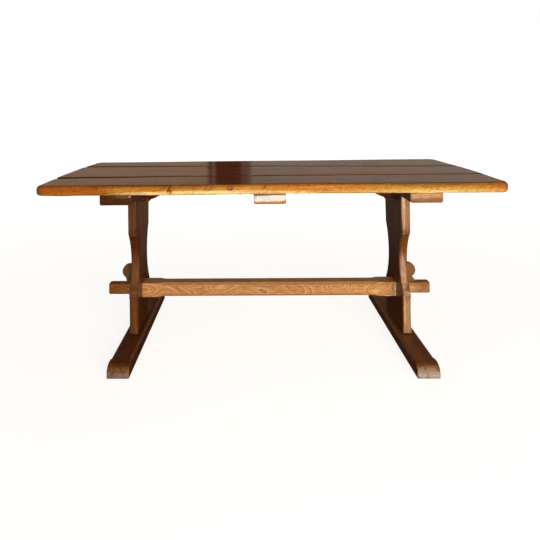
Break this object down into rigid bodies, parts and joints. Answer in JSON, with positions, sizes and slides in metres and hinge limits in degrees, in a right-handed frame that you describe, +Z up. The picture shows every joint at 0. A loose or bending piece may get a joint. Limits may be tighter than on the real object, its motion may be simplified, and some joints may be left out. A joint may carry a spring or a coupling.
{
  "type": "trestle dining table",
  "caption": "Trestle dining table with a plank top, shaped board uprights on sledge feet, and a through-tenoned stretcher locked by tusk keys.",
  "frame": {"origin": "on the floor under the middle of the top", "axes": "+X along the table, +Y away from the front edge, +Z up"},
  "size_m": [1.86, 0.77, 0.76],
  "materials": {
    "oak_top": "waxed and polished medium-dark oak",
    "oak_frame": "waxed dark oak",
    "oak_stretcher": "waxed lighter oak",
    "oak_keys": "waxed dark oak",
    "steel_screws": "zinc-plated steel",
    "felt_glides": "brown wool felt"
  },
  "bodies": {
    "table": {"top_plank_front": "oak_top", "top_plank_middle": "oak_top", "top_plank_back": "oak_top", "top_tongue_front": "oak_frame", "top_tongue_back": "oak_frame", "bearer_left": "oak_frame", "bearer_centre": "oak_frame", "bearer_right": "oak_frame", "bearer_screws_left": "steel_screws", "bearer_screws_centre": "steel_screws", "bearer_screws_right": "steel_screws", "upright_left": "oak_frame", "upright_right": "oak_frame", "foot_left": "oak_frame", "foot_right": "oak_frame", "foot_glides_left": "felt_glides", "foot_glides_right": "felt_glides", "stretcher": "oak_stretcher", "bracket_left": "oak_frame", "bracket_right": "oak_frame", "bracket_screw_left": "steel_screws", "bracket_screw_right": "steel_screws"},
    "tusk_key_left": {"tusk_key_left": "oak_keys"},
    "tusk_key_right": {"tusk_key_right": "oak_keys"}
  },
  "joints": [
    {"name": "left_key_lift", "type": "slide", "parent": "table", "child": "tusk_key_left", "axis": [0, 0, 1], "range_m": [0, 0.08]},
    {"name": "right_key_lift", "type": "slide", "parent": "table", "child": "tusk_key_right", "axis": [0, 0, 1], "range_m": [0, 0.08]}
  ]
}
